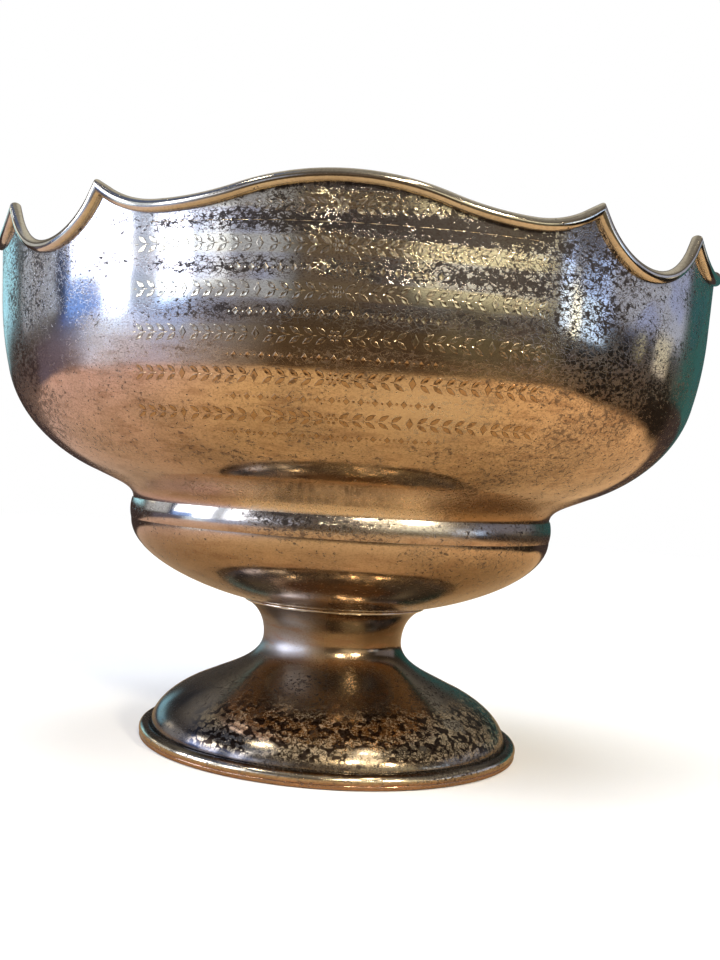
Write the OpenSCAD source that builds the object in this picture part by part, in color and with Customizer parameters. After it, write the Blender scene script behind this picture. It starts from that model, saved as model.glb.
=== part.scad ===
// Footed presentation bowl in sheet silver: a cup trophy of the rose-bowl pattern.
// +Z is up and the origin is the centre of the face that the foot stands on. Millimetres.
//
// From the table up: foot mount (drawn wire), foot shell (spun), collar wire, lower bowl (spun),
// girdle band (drawn strip), upper bowl (spun, with a scalloped edge), and eight mitred lengths of
// rim wire. A stud brazed under the lower bowl passes through the web of the foot shell, and a
// washer, a spring washer and a nut hold the two together.

/* [Bowl] */
// Outer radius of the upper bowl's wall at the height of the cusps
bowl_r = 113.2; // [106:0.1:118]
// How far the straight wall leans out for each millimetre of height
wall_lean = 0.05; // [0:0.005:0.08]
// Outer radius of the waist, where the upper bowl meets the girdle
waist_r = 68.2; // [64:0.1:72]
// Thickness of the spun sheet
sheet = 1.1; // [0.9:0.1:1.4]

/* [Heights] */
// Height of the neck, the narrowest ring of the foot shell
neck_z = 34; // [32:0.5:36]
// Height of the lower bowl's flat underside
joint_z = 46.2; // [45:0.1:48]
// Height of the girdle band's lower edge
girdle_z = 70.4; // [69:0.1:72]
// Height of the cusps of the rim
cusp_z = 157; // [154:0.1:162]

/* [Foot] */
// Outer radius of the foot mount
foot_r = 62; // [58:0.5:66]
// Outer radius of the neck
neck_r = 22.9; // [21:0.1:26]
// Outer radius of the collar wire, where the foot meets the bowl
collar_r = 29.8; // [28:0.1:32]
// Height of the foot mount
mount_h = 4.3; // [3.6:0.1:5]

/* [Girdle] */
// Height of the girdle band
girdle_h = 6.5; // [5:0.1:8]
// How far the middle of the band stands out from its edges
girdle_bulge = 0.45; // [0.2:0.05:0.8]

/* [Rim] */
// Number of broad panels round the rim, with a narrow one between each pair
panels = 4; // [4]
// Angle that one narrow panel takes
narrow_deg = 23; // [20:0.5:25]
// Depth of a narrow panel's dip below the cusps
narrow_dip = 12.9; // [12:0.1:16]
// Depth of a broad panel's two dips below the cusps
broad_dip = 6.1; // [5:0.1:8]
// Height of a broad panel's arch above the cusps
arch_rise = 0.9; // [0:0.1:2]
// Angle from the middle of a broad panel to the bottom of its dip
dip_deg = 23.9; // [22:0.1:26]
// How far the crest of the rim wire stands out from the wall
wire_out = 2.1; // [1.8:0.1:2.4]

/* [Fastening] */
// Radius of the stud
stud_r = 4; // [3:0.5:5]
// Radius of the washer inside the foot
washer_r = 14; // [12:0.5:16]

/* [Hidden] */
$fn = 96;
fit_gap = 0.02;
steps = 14;

// Heights that follow from the driving ones.
girdle_top = girdle_z + girdle_h;
collar_h = 1.0;
shell_top = joint_z - collar_h;
web = 1.2;
web_z = shell_top - web;
wall_top = cusp_z + 2;

// The foot shell stands in a rebate of the foot mount.
seat_r = foot_r - 3.7;
seat_z = 2.4;

// The spigot joint between the two bowls, under the girdle band.
lower_r = waist_r + 0.3;
band_seat_r = lower_r - 0.7;
spigot_r = band_seat_r - sheet - fit_gap;
spigot_z = girdle_z + 1.6;

// The rim's curve, laid out flat on the wall: x runs along the wall and z is its height.
arc_mm = bowl_r * PI / 180;
narrow_half = narrow_deg / 2 * arc_mm;
broad_half = (180 / panels - narrow_deg / 2) * arc_mm;
dip_x = dip_deg * arc_mm;
arch_z = cusp_z + arch_rise;
broad_low = cusp_z - broad_dip;
narrow_low = cusp_z - narrow_dip;
narrow_arc = chord_radius(narrow_half, narrow_dip);
flick_arc = chord_radius(broad_half - dip_x, broad_dip);
// The arch and the shoulder below it are two arcs that meet at one slope.
shoulder_slope = 2 * atan((arch_z - broad_low) / dip_x);
both_arcs = dip_x / sin(shoulder_slope);
arch_arc = 0.53 * both_arcs;
shoulder_arc = both_arcs - arch_arc;
turn_x = arch_arc * sin(shoulder_slope);

// Where two lengths of wire meet, the mitre halves the angle between them.
broad_slope = asin((broad_half - dip_x) / flick_arc);
narrow_slope = asin(narrow_half / narrow_arc);
mitre_lean = (narrow_slope - broad_slope) / 2;
mitre_stretch = 1 / cos((narrow_slope + broad_slope) / 2);
mitre_clear = 2.4;

// Section of the rim wire: out from the wall, and up from the crest across the wire. The wire is round,
// with a flat inside, flush with the sheet, and a notch for the sheet's edge.
cap_seat = 0.7;
wire_r = (wire_out + sheet) / 2 + 0.05;
wire_axis = [wire_out - wire_r, wire_r - 1.18];
wire_section = concat(
    [[fit_gap, wire_axis[1] - sqrt(pow(wire_r, 2) - pow(wire_axis[0] - fit_gap, 2))]],
    [for (a = [-90:22.5:135]) wire_axis + wire_r * [cos(a), sin(a)]],
    [[-sheet, wire_axis[1] + sqrt(pow(wire_r, 2) - pow(wire_axis[0] + sheet, 2))]],
    [[-sheet, cap_seat + fit_gap], [fit_gap, cap_seat + fit_gap]]
);

// Fastening stack, from the web of the foot shell down.
washer_h = 1.6;
spring_h = 1.8;
nut_h = 6.5;
nut_r = 1.876 * stud_r;
washer_z = web_z - washer_h;
spring_z = washer_z - spring_h;
nut_z = spring_z - nut_h;
stud_end = nut_z - 5;
flange_r = 3 * stud_r;

BROAD = [for (i = [1:panels]) str("rim_wire_broad_", i)];
NARROW = [for (i = [1:panels]) str("rim_wire_narrow_", i)];

// Outer radius of the straight wall at a height.
function wall_r(z) = bowl_r - wall_lean * (cusp_z - z);

// Radius of the arc with this half chord and this depth.
function chord_radius(half, depth) = (half * half + depth * depth) / (2 * depth);

// Depth of an arc of radius r at the distance x from its lowest point.
function arc_rise(x, r) = r - sqrt(r * r - x * x);

// Points along a cubic curve, without its first one.
function curve(a, b, c, d, n = steps) = [
    for (i = [1:n]) let (t = i / n, u = 1 - t)
        u * u * u * a + 3 * u * u * t * b + 3 * u * t * t * c + t * t * t * d
];

// The unit normal on the left of a path at its point i.
function left_of(path, i) =
    let (d = path[min(i + 1, len(path) - 1)] - path[max(i - 1, 0)])
    [-d[1], d[0]] / norm(d);

// The path moved to its left by t.
function beside(path, t) = [for (i = [0:len(path) - 1]) path[i] + t * left_of(path, i)];

function reversed(list) = [for (i = [len(list) - 1:-1:0]) list[i]];

// Outer profiles, [radius, height], each going up. The foot's dome turns into its neck at one point,
// and the upper bowl's wall has two such points.
dome = [foot_r - 20, 19.1];
hip = [80, 84.9];
flank = [bowl_r - 4.1, 115.3];
wall_foot = [wall_r(136), 136];
foot_curve = concat(
    [[seat_r, seat_z], [seat_r, seat_z + 1]],
    curve([seat_r, seat_z + 1], [seat_r + 0.2, 9.8], [foot_r - 11.5, 15.7], dome),
    curve(dome, [neck_r + 11, 23], [neck_r, 26.5], [neck_r, neck_z]),
    curve([neck_r, neck_z], [neck_r, neck_z + 4],
          [neck_r + 1.4, shell_top - 2.4], [collar_r - 0.7, shell_top])
);
lower_curve = concat(
    [[collar_r - 0.3, joint_z]],
    curve([collar_r - 0.3, joint_z], [44, joint_z + 2.7], [lower_r - 0.3, 57.9], [lower_r, girdle_z])
);
upper_curve = concat(
    [[waist_r, girdle_top]],
    curve([waist_r, girdle_top], [waist_r, girdle_top + 3.7], [73, 81.8], hip, 8),
    curve(hip, [93, 89.9], [106, 100.5], flank),
    curve(flank, [bowl_r - 2.4, 122], [wall_r(129), 129], wall_foot, 8),
    [[wall_r(wall_top), wall_top]]
);

// Height of the rim's crest at the distance x from the middle of a panel.
function broad_crest(x) = let (a = abs(x))
    a < turn_x ? arch_z - arc_rise(a, arch_arc)
    : a < dip_x ? broad_low + arc_rise(dip_x - a, shoulder_arc)
    : broad_low + arc_rise(a - dip_x, flick_arc);
function narrow_crest(x) = narrow_low + arc_rise(x, narrow_arc);
function crest(broad, x) = broad ? broad_crest(x) : narrow_crest(x);

// Slope of the crest at x, in degrees.
function crest_slope(broad, x) = atan2(crest(broad, x + 0.05) - crest(broad, x - 0.05), 0.1);

// The point at the distance up from the crest, across the wire, laid out flat.
function across(broad, x, up) = let (s = crest_slope(broad, x))
    [x - up * sin(s), crest(broad, x) + up * cos(s)];

// How far up the mitre that line ends. The tips are dressed down, so the outer lines stop short.
function dressed(up) = sign(up) * min(abs(up) * mitre_stretch, 0.8 + 0.75 * abs(up));

// The same where the wire ends at its mitre. A broad panel's mitre leans out, a narrow one's leans in.
function at_mitre(broad, side, up) = let (lean = broad ? mitre_lean : -mitre_lean)
    [side * ((broad ? broad_half : narrow_half) + dressed(up) * sin(lean)),
     cusp_z + dressed(up) * cos(lean)];

// A line along the panel at the distance up from the crest, from mitre to mitre.
function along(broad, up, n) = let (end = (broad ? broad_half : narrow_half) - mitre_clear)
    concat(
        [at_mitre(broad, -1, up)],
        [for (i = [0:n]) across(broad, -end + 2 * end * i / n, up)],
        [at_mitre(broad, 1, up)]
    );

// A flat point [x, z] wrapped round the wall, at the distance out from it.
function wrapped(p, out) = let (a = p[0] / arc_mm)
    [(wall_r(p[1]) + out) * cos(a), (wall_r(p[1]) + out) * sin(a), p[1]];

// One mitred length of the rim wire, centred on +X.
module rim_wire(broad) {
    n = broad ? 44 : 20;
    lines = [for (s = wire_section) [for (p = along(broad, s[1], n)) wrapped(p, s[0])]];
    rings = n + 3;
    m = len(wire_section);
    color("gainsboro") polyhedron(
        points = [for (line = lines) each line],
        faces = concat(
            [for (j = [0:m - 1], i = [0:rings - 2]) let (k = (j + 1) % m)
                [j * rings + i, j * rings + i + 1, k * rings + i + 1]],
            [for (j = [0:m - 1], i = [0:rings - 2]) let (k = (j + 1) % m)
                [j * rings + i, k * rings + i + 1, k * rings + i]],
            cap_faces(m, rings, 0, true),
            cap_faces(m, rings, rings - 1, false)
        ),
        convexity = 6
    );
}

// The ends of the wire are closed in a fan from the inner corner of its notch, the section's last point.
function cap_faces(m, rings, i, first) = [
    for (j = [0:m - 3]) let (f = [for (v = [m - 1, j, j + 1]) v * rings + i]) first ? f : reversed(f)
];

// Removes the wall above the seat of a narrow panel's wire: a round bite of the same arc.
module narrow_bite() {
    translate([bowl_r - 10, 0, narrow_low + narrow_arc])
        rotate([0, 90, 0]) cylinder(r = narrow_arc - cap_seat, h = 20);
}

// The same for a broad panel, with the curve's points set square to the panel's middle.
module broad_bite() {
    edge = [for (p = along(true, cap_seat, 44)) [wall_r(p[1]) * sin(p[0] / arc_mm), p[1]]];
    left = edge[0][0];
    right = edge[len(edge) - 1][0];
    translate([bowl_r / 2, 0, 0]) rotate([90, 0, 90]) linear_extrude(bowl_r)
        polygon(concat(edge, [[right, wall_top + 5], [left, wall_top + 5]]));
}

module upper_bowl() {
    inner = beside(upper_curve, sheet);
    spigot = [[waist_r - sheet, girdle_top + 1.5], [spigot_r - sheet, girdle_top],
              [spigot_r - sheet, spigot_z],
              [spigot_r, spigot_z], [spigot_r, girdle_top]];
    color("silver") difference() {
        rotate_extrude()
            polygon(concat(upper_curve,
                           reversed([for (p = inner) if (p[1] > girdle_top + 1.6) p]), spigot));
        for (i = [0:panels - 1]) {
            rotate(i * 360 / panels) broad_bite();
            rotate((i + 0.5) * 360 / panels) narrow_bite();
        }
    }
}

module lower_bowl() {
    inner = [for (p = beside(lower_curve, sheet)) if (p[0] > collar_r && p[1] < girdle_z - 0.4) p];
    color("silver") rotate_extrude() polygon(concat(
        [[0, joint_z]], lower_curve,
        [[band_seat_r, girdle_z], [band_seat_r, girdle_top], [band_seat_r - sheet, girdle_top],
         [band_seat_r - sheet, girdle_z]],
        reversed(inner),
        [[0, inner[0][1]]]
    ));
}

module girdle_band() {
    bulge_arc = chord_radius(girdle_h / 2, girdle_bulge);
    color("silver") rotate_extrude() intersection() {
        translate([band_seat_r + fit_gap, girdle_z + fit_gap]) square([5, girdle_h - 2 * fit_gap]);
        translate([lower_r + girdle_bulge - bulge_arc, girdle_z + girdle_h / 2]) circle(bulge_arc);
    }
}

module collar_wire() {
    round_r = collar_h / 2;
    color("silver") rotate_extrude() {
        translate([collar_r - 6, shell_top]) square([6 - round_r, collar_h]);
        translate([collar_r - round_r, shell_top + round_r]) circle(round_r);
    }
}

module foot_shell() {
    inner = [for (p = beside(foot_curve, sheet)) if (p[1] < web_z) p];
    color("silver") rotate_extrude() polygon(concat(
        foot_curve,
        [[stud_r + 0.3, shell_top], [stud_r + 0.3, web_z]],
        reversed(inner)
    ));
}

// Drawn moulding: a flat base with eased edges, and a bead above it that laps the foot shell.
module foot_mount() {
    bead_r = 2;
    base_h = 1.3;
    base_r = foot_r - 0.2;
    ease = 0.4;
    inner_r = seat_r - 2.4;
    color("silver") rotate_extrude() difference() {
        union() {
            polygon([[inner_r, 0], [base_r - ease, 0], [base_r, ease], [base_r, base_h - ease / 2],
                     [base_r - ease / 2, base_h], [inner_r, base_h]]);
            translate([foot_r - bead_r, mount_h - bead_r]) circle(bead_r);
            translate([inner_r, base_h / 2]) square([foot_r - bead_r - inner_r, seat_z - base_h / 2 + 0.2]);
        }
        translate([0, seat_z]) square([seat_r + fit_gap, 5]);
    }
}

// Flanged stud, brazed to the underside of the lower bowl inside the collar wire.
module bowl_stud() {
    chamfer = 0.8;
    color("darkgoldenrod") rotate_extrude() polygon([
        [0, joint_z], [flange_r, joint_z], [flange_r, shell_top], [stud_r, shell_top],
        [stud_r, stud_end + chamfer], [stud_r - chamfer, stud_end], [0, stud_end]
    ]);
}

module spreader_washer() {
    color("gray") translate([0, 0, washer_z]) difference() {
        cylinder(r = washer_r, h = washer_h);
        translate([0, 0, -1]) cylinder(r = stud_r + 0.3, h = washer_h + 2);
    }
}

module spring_washer() {
    split = 1.2;
    color("dimgray") translate([0, 0, spring_z]) difference() {
        cylinder(r = 1.65 * stud_r, h = spring_h);
        translate([0, 0, -1]) cylinder(r = stud_r + 0.15, h = spring_h + 2);
        rotate(20) translate([0, -split / 2, -1]) cube([2 * stud_r, split, spring_h + 2]);
    }
}

module stud_nut() {
    color("gray") translate([0, 0, nut_z]) difference() {
        cylinder(r = nut_r, h = nut_h, $fn = 6);
        translate([0, 0, -1]) cylinder(r = stud_r + fit_gap, h = nut_h + 2);
    }
}

upper_bowl();
lower_bowl();
girdle_band();
collar_wire();
foot_shell();
foot_mount();
bowl_stud();
spreader_washer();
spring_washer();
stud_nut();
for (i = [0:panels - 1]) {
    rotate(i * 360 / panels) rim_wire(true);
    rotate((i + 0.5) * 360 / panels) rim_wire(false);
}
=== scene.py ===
import math

import bmesh
import bpy
from mathutils import Matrix, Vector


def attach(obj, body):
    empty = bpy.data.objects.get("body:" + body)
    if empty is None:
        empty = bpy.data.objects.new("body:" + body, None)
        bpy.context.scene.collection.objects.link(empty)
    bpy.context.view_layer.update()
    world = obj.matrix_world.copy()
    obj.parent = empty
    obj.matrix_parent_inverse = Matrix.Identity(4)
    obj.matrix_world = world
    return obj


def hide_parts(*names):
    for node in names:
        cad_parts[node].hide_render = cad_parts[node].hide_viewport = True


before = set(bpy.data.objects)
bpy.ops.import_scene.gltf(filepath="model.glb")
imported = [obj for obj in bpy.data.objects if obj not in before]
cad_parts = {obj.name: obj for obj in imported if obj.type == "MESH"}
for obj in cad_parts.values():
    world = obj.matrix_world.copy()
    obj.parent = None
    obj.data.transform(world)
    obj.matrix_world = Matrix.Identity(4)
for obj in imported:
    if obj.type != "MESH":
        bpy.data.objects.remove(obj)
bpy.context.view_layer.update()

MM = 0.001

# ---------------------------------------------------------------- dimensions, in millimetres
BOWL_R = 113.2
WALL_LEAN = 0.05
WAIST_R = 68.2
SHEET = 1.1
JOINT_Z = 46.2
GIRDLE_Z = 70.4
GIRDLE_H = 6.5
GIRDLE_TOP = GIRDLE_Z + GIRDLE_H
CUSP_Z = 157.0
FOOT_R = 62.0
NECK_R = 22.9
NECK_Z = 34.0
COLLAR_R = 29.8
COLLAR_H = 1.0
SHELL_TOP = JOINT_Z - COLLAR_H
WEB_Z = SHELL_TOP - 1.2
MOUNT_H = 4.3
BEAD_R = 2.0
BASE_H = 1.3
BASE_R = FOOT_R - 0.2
SEAT_R = FOOT_R - 3.7
SEAT_Z = 2.4
LOWER_R = WAIST_R + 0.3
BAND_SEAT_R = LOWER_R - 0.7
SPIGOT_R = BAND_SEAT_R - SHEET - 0.02
STUD_R = 4.0

PANELS = 4
NARROW_DEG = 23.0
ARC = BOWL_R * math.pi / 180
NARROW_HALF = NARROW_DEG / 2 * ARC
BROAD_HALF = (180 / PANELS - NARROW_DEG / 2) * ARC
DIP_X = 23.9 * ARC
ARCH_Z = CUSP_Z + 0.9
BROAD_LOW = CUSP_Z - 6.1
NARROW_LOW = CUSP_Z - 12.9
CAP_SEAT = 0.7


# ---------------------------------------------------------------- curves
def curve(a, b, c, d, n=40):
    """Points along a cubic curve, without its first one."""
    points = []
    for i in range(1, n + 1):
        t = i / n
        u = 1 - t
        points.append(tuple(u ** 3 * a[k] + 3 * u * u * t * b[k] + 3 * u * t * t * c[k] + t ** 3 * d[k]
                            for k in range(2)))
    return points


def arc(centre, radius, start, end, n=12):
    """Points along a circular arc, angles in degrees."""
    points = []
    for i in range(n + 1):
        a = math.radians(start + (end - start) * i / n)
        points.append((centre[0] + radius * math.cos(a), centre[1] + radius * math.sin(a)))
    return points


def beside(path, distance):
    """The path moved to its left."""
    moved = []
    for i, p in enumerate(path):
        q = path[min(i + 1, len(path) - 1)]
        o = path[max(i - 1, 0)]
        dr, dz = q[0] - o[0], q[1] - o[1]
        size = math.hypot(dr, dz)
        moved.append((p[0] - distance * dz / size, p[1] + distance * dr / size))
    return moved


def chord_radius(half, depth):
    return (half * half + depth * depth) / (2 * depth)


def arc_rise(x, radius):
    return radius - math.sqrt(max(radius * radius - x * x, 0.0))


def wall_r(z):
    """Outer radius of the upper bowl's straight wall at a height."""
    return BOWL_R - WALL_LEAN * (CUSP_Z - z)


DOME = (FOOT_R - 20, 19.1)
HIP = (80.0, 84.9)
FLANK = (BOWL_R - 4.1, 115.3)

foot_curve = (
    [(SEAT_R, SEAT_Z + 1)]
    + curve((SEAT_R, SEAT_Z + 1), (SEAT_R + 0.2, 9.8), (FOOT_R - 11.5, 15.7), DOME, 36)
    + curve(DOME, (NECK_R + 11, 23), (NECK_R, 26.5), (NECK_R, NECK_Z), 32)
    + curve((NECK_R, NECK_Z), (NECK_R, NECK_Z + 4), (NECK_R + 1.4, SHELL_TOP - 2.4),
            (COLLAR_R - 0.7, SHELL_TOP), 22)
)
lower_curve = (
    [(COLLAR_R - 0.3, JOINT_Z)]
    + curve((COLLAR_R - 0.3, JOINT_Z), (44, JOINT_Z + 2.7), (LOWER_R - 0.3, 57.9), (LOWER_R, GIRDLE_Z), 48)
)
upper_curve = (
    [(WAIST_R, GIRDLE_TOP)]
    + curve((WAIST_R, GIRDLE_TOP), (WAIST_R, GIRDLE_TOP + 3.7), (73, 81.8), HIP, 20)
    + curve(HIP, (93, 89.9), (106, 100.5), FLANK, 36)
    + curve(FLANK, (BOWL_R - 2.4, 122), (wall_r(129), 129), (wall_r(136), 136), 20)
    + [(wall_r(138), 138), (wall_r(140), 140)]
)

NARROW_ARC = chord_radius(NARROW_HALF, CUSP_Z - NARROW_LOW)
FLICK_ARC = chord_radius(BROAD_HALF - DIP_X, CUSP_Z - BROAD_LOW)
SHOULDER_SLOPE = 2 * math.atan((ARCH_Z - BROAD_LOW) / DIP_X)
BOTH_ARCS = DIP_X / math.sin(SHOULDER_SLOPE)
ARCH_ARC = 0.53 * BOTH_ARCS
SHOULDER_ARC = BOTH_ARCS - ARCH_ARC
TURN_X = ARCH_ARC * math.sin(SHOULDER_SLOPE)
BROAD_SLOPE = math.asin((BROAD_HALF - DIP_X) / FLICK_ARC)
NARROW_SLOPE = math.asin(NARROW_HALF / NARROW_ARC)
MITRE_LEAN = (NARROW_SLOPE - BROAD_SLOPE) / 2
MITRE_STRETCH = 1 / math.cos((NARROW_SLOPE + BROAD_SLOPE) / 2)


def crest(broad, x):
    """Height of the rim's crest at the distance x along the wall from the middle of a panel."""
    a = abs(x)
    if not broad:
        return NARROW_LOW + arc_rise(a, NARROW_ARC)
    if a < TURN_X:
        return ARCH_Z - arc_rise(a, ARCH_ARC)
    if a < DIP_X:
        return BROAD_LOW + arc_rise(DIP_X - a, SHOULDER_ARC)
    return BROAD_LOW + arc_rise(a - DIP_X, FLICK_ARC)


def across(broad, x, up):
    """The point at the distance up from the crest, square to it, laid out flat."""
    s = math.atan2(crest(broad, x + 0.05) - crest(broad, x - 0.05), 0.1)
    return x - up * math.sin(s), crest(broad, x) + up * math.cos(s)


def dressed(up):
    """How far up the mitre that line ends: the tips are dressed down."""
    return math.copysign(min(abs(up) * MITRE_STRETCH, 0.8 + 0.75 * abs(up)), up)


def at_mitre(broad, side, up):
    lean = MITRE_LEAN if broad else -MITRE_LEAN
    half = BROAD_HALF if broad else NARROW_HALF
    return side * (half + dressed(up) * math.sin(lean)), CUSP_Z + dressed(up) * math.cos(lean)


def seat_height(degrees):
    """Height of the wall's edge, under the rim wire, at an angle from the middle of a broad panel."""
    step = 360 / PANELS
    a = abs((degrees + step / 2) % step - step / 2)
    best = 1e9
    for line, x in ((broad_seat, a * ARC), (narrow_seat, abs(step / 2 - a) * ARC)):
        for (x0, z0), (x1, z1) in zip(line, line[1:]):
            if x0 <= x <= x1 and x1 > x0:
                best = min(best, z0 + (z1 - z0) * (x - x0) / (x1 - x0))
    return best


broad_seat = [across(True, BROAD_HALF * 1.04 * i / 300, CAP_SEAT) for i in range(301)]
NARROW_REACH = min(NARROW_HALF * 1.09, NARROW_ARC - 0.2)
narrow_seat = [across(False, NARROW_REACH * i / 300, CAP_SEAT) for i in range(301)]


# ---------------------------------------------------------------- mesh helpers
def new_object(name, verts, faces, sharp=35.0):
    mesh = bpy.data.meshes.new(name)
    mesh.from_pydata([(x * MM, y * MM, z * MM) for x, y, z in verts], [], faces)
    mesh.validate()
    work = bmesh.new()
    work.from_mesh(mesh)
    bmesh.ops.recalc_face_normals(work, faces=work.faces)
    work.to_mesh(mesh)
    work.free()
    mesh.shade_smooth()
    mesh.set_sharp_from_angle(angle=math.radians(sharp))
    piece = bpy.data.objects.new(name, mesh)
    bpy.context.scene.collection.objects.link(piece)
    return piece


def revolve(name, outline, steps=480, sharp=35.0, wall=None):
    """Turns a closed outline of [radius, height] about Z.

    wall(i, r, z, degrees), if given, places each point of an outline that varies round the ring.
    """
    verts = []
    rings = []
    for i, (r, z) in enumerate(outline):
        if wall is None and r < 1e-6:
            rings.append([len(verts)] * steps)
            verts.append((0.0, 0.0, z))
            continue
        ring = []
        for j in range(steps):
            a = 2 * math.pi * j / steps
            radius, height = wall(i, r, z, 360 * j / steps) if wall else (r, z)
            ring.append(len(verts))
            verts.append((radius * math.cos(a), radius * math.sin(a), height))
        rings.append(ring)
    faces = []
    for i in range(len(outline)):
        lower, upper = rings[i], rings[(i + 1) % len(outline)]
        for j in range(steps):
            k = (j + 1) % steps
            corners = []
            for v in (lower[j], lower[k], upper[k], upper[j]):
                if v not in corners:
                    corners.append(v)
            if len(corners) > 2:
                faces.append(corners)
    return new_object(name, verts, faces, sharp)


pieces = {}


def keep(piece, slot, *nodes):
    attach(piece, "root")
    if nodes:
        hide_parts(*nodes)
    pieces[piece.name] = piece
    return piece


# ---------------------------------------------------------------- upper bowl
WALL_ROWS = 14
WALL_Z = 140.0
outer = list(upper_curve)
inner = [p for p in beside(upper_curve, SHEET) if p[1] > GIRDLE_TOP + 1.7]
outer_wall = [(0.0, WALL_Z + (i + 1) / WALL_ROWS) for i in range(WALL_ROWS)]
inner_wall = [(-SHEET, WALL_Z + (i + 1) / WALL_ROWS) for i in range(WALL_ROWS)]
spigot = [(SPIGOT_R - SHEET, GIRDLE_TOP), (SPIGOT_R - SHEET, GIRDLE_Z + 1.6), (SPIGOT_R, GIRDLE_Z + 1.6),
          (SPIGOT_R, GIRDLE_TOP)]
bowl_outline = (outer + outer_wall + inner_wall[::-1] + inner[::-1]
                + [(WAIST_R - SHEET, GIRDLE_TOP + 1.5)] + spigot)
FIRST_ROW = len(outer)
seat_of = {}


def wall_place(i, r, z, degrees):
    """Rows above the straight wall's foot are spread evenly up to the scalloped edge."""
    if not FIRST_ROW <= i < FIRST_ROW + 2 * WALL_ROWS:
        return r, z
    key = round(degrees, 4)
    if key not in seat_of:
        seat_of[key] = seat_height(degrees)
    height = WALL_Z + (seat_of[key] - WALL_Z) * (z - WALL_Z)
    return wall_r(height) + r, height


UPPER_STEPS = 720
upper = keep(revolve("upper_bowl_shell", bowl_outline, UPPER_STEPS, wall=wall_place),
             "bowl_silver", "upper_bowl")
below_edge = upper.data.attributes.new("below_edge", "FLOAT", "POINT")
for v in upper.data.vertices:
    degrees = round(360 * (v.index % UPPER_STEPS) / UPPER_STEPS, 4)
    below_edge.data[v.index].value = seat_of[degrees] - v.co.z / MM

# ---------------------------------------------------------------- lower bowl
inner_low = [p for p in beside(lower_curve, SHEET) if p[0] > COLLAR_R and p[1] < GIRDLE_Z - 0.4]
lower_outline = (
    [(0.0, JOINT_Z)] + [(COLLAR_R * k / 6, JOINT_Z) for k in range(1, 6)] + lower_curve
    + [(BAND_SEAT_R, GIRDLE_Z), (BAND_SEAT_R, GIRDLE_TOP), (BAND_SEAT_R - SHEET, GIRDLE_TOP),
       (BAND_SEAT_R - SHEET, GIRDLE_Z)]
    + inner_low[::-1]
    + [(COLLAR_R * k / 6, inner_low[0][1]) for k in range(5, 0, -1)] + [(0.0, inner_low[0][1])]
)
lower = keep(revolve("lower_bowl_shell", lower_outline), "bowl_silver", "lower_bowl")

# ---------------------------------------------------------------- girdle band
bulge = 0.45
bulge_arc = chord_radius(GIRDLE_H / 2, bulge)
band_face = []
for i in range(25):
    z = GIRDLE_Z + 0.03 + (GIRDLE_H - 0.06) * i / 24
    band_face.append((LOWER_R + bulge - arc_rise(z - GIRDLE_Z - GIRDLE_H / 2, bulge_arc), z))
band_outline = [(BAND_SEAT_R + 0.02, GIRDLE_Z + 0.03)] + band_face + [(BAND_SEAT_R + 0.02, GIRDLE_TOP - 0.03)]
keep(revolve("girdle_band_strip", band_outline), "bowl_silver", "girdle_band")

# ---------------------------------------------------------------- collar wire
half = COLLAR_H / 2
collar_outline = ([(COLLAR_R - 6, SHELL_TOP)] + arc((COLLAR_R - half, SHELL_TOP + half), half, -90, 90, 14)
                  + [(COLLAR_R - 6, JOINT_Z)])
keep(revolve("collar_ring", collar_outline, 240), "wire_silver", "collar_wire")

# ---------------------------------------------------------------- foot shell
inner_foot = [p for p in beside(foot_curve, SHEET) if p[1] < WEB_Z]
foot_outline = (
    [(SEAT_R, SEAT_Z)] + foot_curve + [(12.0, SHELL_TOP), (STUD_R + 0.3, SHELL_TOP), (STUD_R + 0.3, WEB_Z),
                                      (12.0, WEB_Z)]
    + inner_foot[::-1] + [(SEAT_R - SHEET, SEAT_Z)]
)
keep(revolve("foot_shell_spun", foot_outline), "foot_silver", "foot_shell")

# ---------------------------------------------------------------- foot mount
bead = arc((FOOT_R - BEAD_R, MOUNT_H - BEAD_R), BEAD_R, -28, 148, 32)
mount_outline = (
    [(SEAT_R - 2.4, 0.25), (SEAT_R - 2.2, 0.0)]
    + [(SEAT_R, 0.0), (BASE_R - 0.45, 0.0)] + arc((BASE_R - 0.4, 0.4), 0.4, -80, 0, 6)
    + arc((BASE_R - 0.2, BASE_H - 0.2), 0.2, 0, 80, 4) + bead
    + [(SEAT_R + 0.02, SEAT_Z + 0.9), (SEAT_R + 0.02, SEAT_Z), (SEAT_R - 2.2, SEAT_Z),
       (SEAT_R - 2.4, SEAT_Z - 0.2)]
)
keep(revolve("foot_mount_ring", mount_outline, 480, 25.0), "foot_edge", "foot_mount")

# ---------------------------------------------------------------- rim wire
# A round wire with a flat inside, flush with the sheet, and a notch for the sheet's edge.
WIRE_OUT = 2.1
WIRE_R = (WIRE_OUT + SHEET) / 2 + 0.05
WIRE_X, WIRE_Z = WIRE_OUT - WIRE_R, WIRE_R - 1.18
WIRE_FROM = -90 - math.degrees(math.asin((WIRE_X - 0.02) / WIRE_R))
WIRE_TO = math.degrees(math.acos(-(SHEET + WIRE_X) / WIRE_R))
WIRE = (arc((WIRE_X, WIRE_Z), WIRE_R - 0.005, WIRE_FROM, WIRE_TO, 34)
        + [(-SHEET, CAP_SEAT + 0.02), (0.02, CAP_SEAT + 0.02)])


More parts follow.
